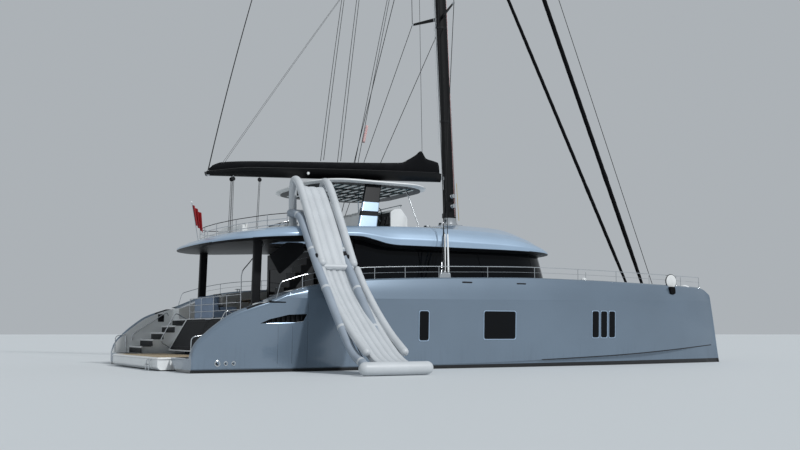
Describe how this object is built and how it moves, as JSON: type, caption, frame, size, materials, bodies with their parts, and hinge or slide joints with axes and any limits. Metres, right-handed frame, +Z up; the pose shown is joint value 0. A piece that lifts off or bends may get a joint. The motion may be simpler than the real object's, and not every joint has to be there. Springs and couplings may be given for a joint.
{
  "type": "sailing catamaran",
  "caption": "Large flybridge sailing catamaran with a tall rig, furled headsails, a covered mainsail, a lifting stern platform and a boarding slide.",
  "frame": {"origin": "amidships on the centreline, on the water's surface", "axes": "+X towards the bows, +Y to port, +Z up along the mast"},
  "size_m": [25.1291, 15.668, 36.8004],
  "materials": {
    "gelcoat": "glossy blue-grey paint",
    "deck_white": "pale satin moulding",
    "charcoal": "dark satin paint",
    "black_glass": "black tinted glazing",
    "steel": "polished stainless",
    "carbon": "black clear-coated carbon",
    "sailcloth": "black woven acrylic canvas",
    "net": "knotted grey netting",
    "teak": "pale laid planks with dark seams",
    "cushion": "blue-grey outdoor weave",
    "slide_fabric": "coated light grey fabric",
    "bronze": "dull bronze",
    "antifoul": "matt black bottom paint",
    "ensign": "red bunting"
  },
  "bodies": {
    "yacht": {"hull_port": "gelcoat", "hull_starboard": "gelcoat", "keel_port": "antifoul", "keel_starboard": "antifoul", "shaft_port": "steel", "shaft_starboard": "steel", "guard_rail_port": "steel", "guard_rail_starboard": "steel", "net_port": "net", "net_starboard": "net", "shrouds_port": "carbon", "shrouds_starboard": "carbon", "cockpit_post_port": "charcoal", "cockpit_post_starboard": "charcoal", "hardtop_leg_port": "charcoal", "hardtop_leg_starboard": "charcoal", "hardtop_strut_port": "steel", "hardtop_strut_starboard": "steel", "saloon_aft_window_port": "black_glass", "saloon_aft_window_starboard": "black_glass", "bridge_deck": "gelcoat", "saloon_frame": "charcoal", "saloon_glass": "black_glass", "saloon_aft_wall": "charcoal", "coachroof": "gelcoat", "hardtop": "deck_white", "helm_console": "deck_white", "helm_seat": "deck_white", "flybridge_sofa": "cushion", "flybridge_bar": "deck_white", "flybridge_rail": "steel", "cockpit_rail": "steel", "cockpit_sofa": "cushion", "cockpit_table": "teak", "flybridge_stairs": "charcoal", "fore_beam": "gelcoat", "mast": "carbon", "genoa": "sailcloth", "staysail": "sailcloth", "sprit_stay": "carbon", "slide": "slide_fabric", "ensign": "ensign"},
    "boom": {"boom": "carbon", "sail_bag": "sailcloth"},
    "platform": {"swim_platform": "teak", "swim_ladder": "steel"},
    "garage_door": {"garage_door": "charcoal"},
    "saloon_door": {"saloon_door": "black_glass"},
    "rudder_port": {"rudder_port": "antifoul"},
    "rudder_starboard": {"rudder_starboard": "antifoul"},
    "helm_wheel": {"helm_wheel": "steel"},
    "propeller_port": {"propeller_port": "bronze"},
    "propeller_starboard": {"propeller_starboard": "bronze"},
    "locker_lid_port": {"locker_lid_port": "gelcoat"},
    "locker_lid_starboard": {"locker_lid_starboard": "gelcoat"}
  },
  "joints": [
    {"name": "boom_swing", "type": "hinge", "parent": "yacht", "child": "boom", "pos_m": [0.56, 0, 7.62], "axis": [-0.0472, 0, 0.9989], "range_deg": [-50, 50]},
    {"name": "platform_lift", "type": "slide", "parent": "yacht", "child": "platform", "axis": [0, 0, 1], "range_m": [-0.9, 0]},
    {"name": "garage_door_hinge", "type": "hinge", "parent": "yacht", "child": "garage_door", "pos_m": [-9.5231, 0, 1.7817], "axis": [0, 1, 0], "range_deg": [0, 80]},
    {"name": "saloon_door_slide", "type": "slide", "parent": "yacht", "child": "saloon_door", "axis": [0, 1, 0], "range_m": [0, 1.72]},
    {"name": "rudder_port_turn", "type": "hinge", "parent": "yacht", "child": "rudder_port", "pos_m": [-10.65, 4.575, -0.4], "axis": [0, 0, 1], "range_deg": [-35, 35]},
    {"name": "rudder_starboard_turn", "type": "hinge", "parent": "yacht", "child": "rudder_starboard", "pos_m": [-10.65, -4.575, -0.4], "axis": [0, 0, 1], "range_deg": [-35, 35]},
    {"name": "helm_wheel_turn", "type": "hinge", "parent": "yacht", "child": "helm_wheel", "pos_m": [-3.3, -1.5, 5.76], "axis": [1, 0, 0], "range_deg": [-351, 351]},
    {"name": "propeller_port_spin", "type": "hinge", "parent": "yacht", "child": "propeller_port", "pos_m": [-9.7, 4.575, -0.9966], "axis": [0.993, 0, 0.1178], "continuous": true},
    {"name": "propeller_starboard_spin", "type": "hinge", "parent": "yacht", "child": "propeller_starboard", "pos_m": [-9.7, -4.575, -0.9966], "axis": [0.993, 0, 0.1178], "continuous": true},
    {"name": "locker_lid_port_hinge", "type": "hinge", "parent": "yacht", "child": "locker_lid_port", "pos_m": [4.45, 1.8, 3.006], "axis": [0, -1, 0], "range_deg": [0, 85]},
    {"name": "locker_lid_starboard_hinge", "type": "hinge", "parent": "yacht", "child": "locker_lid_starboard", "pos_m": [4.45, -1.8, 3.006], "axis": [0, -1, 0], "range_deg": [0, 85]}
  ],
  "couplings": [
    {"joint": "rudder_starboard_turn", "follows": "rudder_port_turn", "ratio": 1},
    {"joint": "helm_wheel_turn", "follows": "rudder_port_turn", "ratio": 10}
  ]
}
